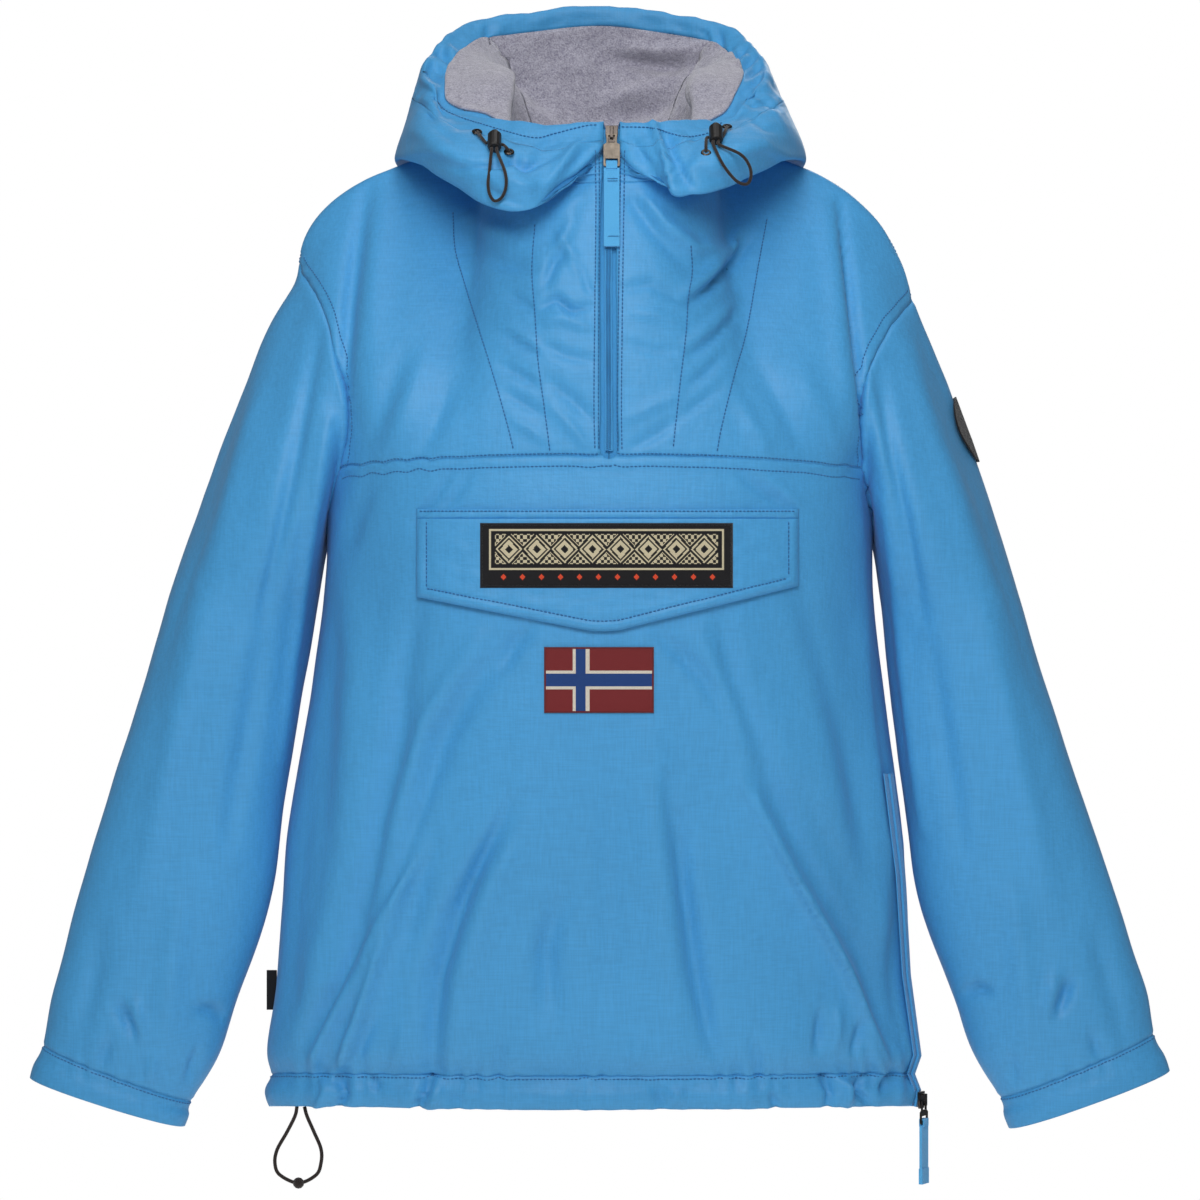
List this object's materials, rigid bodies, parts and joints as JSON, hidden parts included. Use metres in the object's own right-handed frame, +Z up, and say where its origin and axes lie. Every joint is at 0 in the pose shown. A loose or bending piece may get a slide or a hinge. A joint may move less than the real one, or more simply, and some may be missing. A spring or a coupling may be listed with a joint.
{
  "type": "anorak pullover",
  "caption": "Hooded half-zip padded pullover with a flap pocket, open at neck, hem and cuffs, filled out as worn.",
  "frame": {"origin": "between the shoulders at neck height, where the wearer's neck and shoulders hold it", "axes": "+Z up, the front faces -Y, the wearer's right sleeve at -X"},
  "size_m": [0.8853, 0.3071, 0.9308],
  "materials": {
    "shell": "padded nylon taffeta, soft sheen",
    "shell_band": "the same nylon, folded double",
    "fleece": "heather grey brushed fleece",
    "woven_black": "dense woven label cloth",
    "woven_red": "embroidered twill",
    "zip_tape": "woven zip tape and dyed nylon coil",
    "webbing": "narrow flat webbing",
    "cord": "braided polyester cord",
    "plastic": "satin moulded plastic",
    "nickel": "brushed nickel",
    "dark_metal": "gunmetal plating"
  },
  "bodies": {
    "garment": {"front_lower": "shell", "yoke_left": "shell", "yoke_right": "shell", "back": "shell", "hem_front": "shell_band", "hem_back": "shell_band", "sleeve_left": "shell", "cuff_left": "shell_band", "sleeve_right": "shell", "cuff_right": "shell_band", "hood_left": "shell", "hood_lining_left": "fleece", "hood_center": "shell", "hood_lining_center": "fleece", "hood_right": "shell", "hood_lining_right": "fleece", "hood_rim": "shell_band", "flap_welt": "shell", "pocket_flap": "shell", "woven_panel": "woven_black", "flag_patch": "woven_red", "side_label": "woven_black", "sleeve_badge": "woven_black", "zip_tape_left": "zip_tape", "zip_tape_right": "zip_tape", "zip_chain": "zip_tape", "zip_slider": "dark_metal", "side_zip_tape": "zip_tape", "side_zip_chain": "zip_tape", "side_zip_slider": "dark_metal", "cord_lock_left": "plastic", "cord_lock_button_left": "plastic", "eyelet_left_1": "dark_metal", "hood_cord_left_1": "cord", "eyelet_left_2": "dark_metal", "hood_cord_left_2": "cord", "hood_cord_loop_left": "cord", "cord_lock_right": "plastic", "cord_lock_button_right": "plastic", "eyelet_right_1": "dark_metal", "hood_cord_right_1": "cord", "eyelet_right_2": "dark_metal", "hood_cord_right_2": "cord", "hood_cord_loop_right": "cord", "hem_cord_knot": "cord", "hem_cord_left": "cord", "hem_cord_right": "cord"},
    "zip_pull": {"zip_pull": "nickel", "zip_tab": "webbing"},
    "side_zip_pull": {"side_zip_pull": "nickel", "side_zip_tab": "webbing"}
  },
  "joints": [
    {"name": "zip_pull_hinge", "type": "hinge", "parent": "garment", "child": "zip_pull", "pos_m": [0.00876, -0.10767, 0.03807], "axis": [-1, 0, 0], "range_deg": [0, 130]},
    {"name": "side_zip_pull_hinge", "type": "hinge", "parent": "garment", "child": "side_zip_pull", "pos_m": [0.25031, -0.0273, -0.6996], "axis": [-0.5021, -0.8648, 0], "range_deg": [0, 130]}
  ]
}
